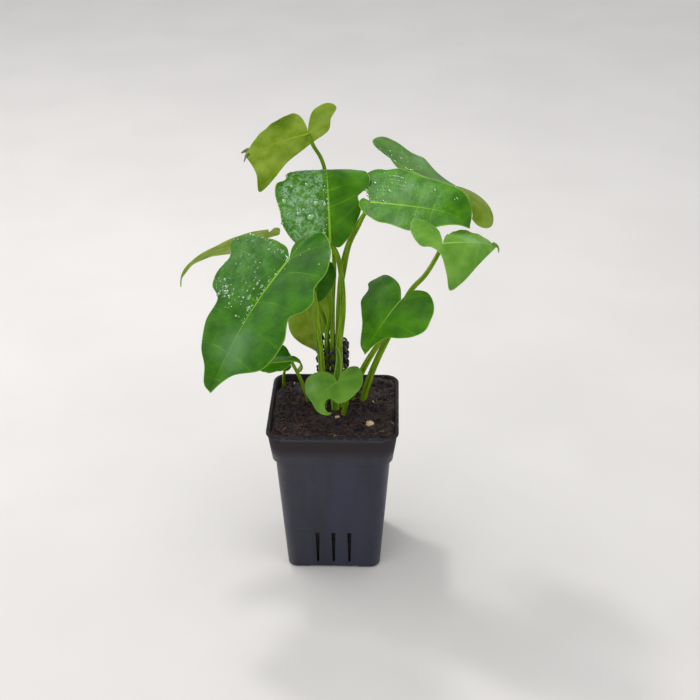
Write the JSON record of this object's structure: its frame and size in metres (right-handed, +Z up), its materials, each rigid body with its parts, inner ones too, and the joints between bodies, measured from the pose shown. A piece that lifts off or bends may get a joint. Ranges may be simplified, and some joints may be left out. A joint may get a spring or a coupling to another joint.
{
  "type": "potted philodendron",
  "caption": "Young lobed-leaf philodendron in a square tapered nursery pot, a desk-sized house plant.",
  "frame": {"origin": "middle of the pot's foot, on the surface it stands on", "axes": "+Z up; +X to the right and +Y away from the viewer when the pot's slotted front wall faces them"},
  "size_m": [0.2362, 0.1832, 0.3546],
  "materials": {
    "pot": "satin, dark slate grey",
    "soil": "matte, fibrous peat",
    "blade": "satin, living leaf",
    "stalk": "satin, living stem",
    "cord": "matte, black",
    "stone": "matte, dry"
  },
  "bodies": {
    "root": {"pot": "pot", "soil": "soil", "blade_front_left": "blade", "blade_centre": "blade", "blade_right": "blade", "blade_right_back": "blade", "blade_right_side": "blade", "blade_top": "blade", "blade_left_back": "blade", "blade_heart": "blade", "blade_hanging": "blade", "blade_shaded": "blade", "blade_low_left": "blade", "blade_low_back": "blade", "blade_low_front": "blade", "stalk_front_left": "stalk", "stalk_centre": "stalk", "stalk_right": "stalk", "stalk_right_back": "stalk", "stalk_right_side": "stalk", "stalk_top": "stalk", "stalk_left_back": "stalk", "stalk_heart": "stalk", "stalk_hanging": "stalk", "stalk_shaded": "stalk", "stalk_low_left": "stalk", "stalk_low_back": "stalk", "stalk_low_front": "stalk", "sheath_leaf": "stalk", "cord_coil": "cord", "pellet": "stone", "grit_left": "stone", "grit_right": "stone", "grit_front": "stone"}
  },
  "joints": []
}
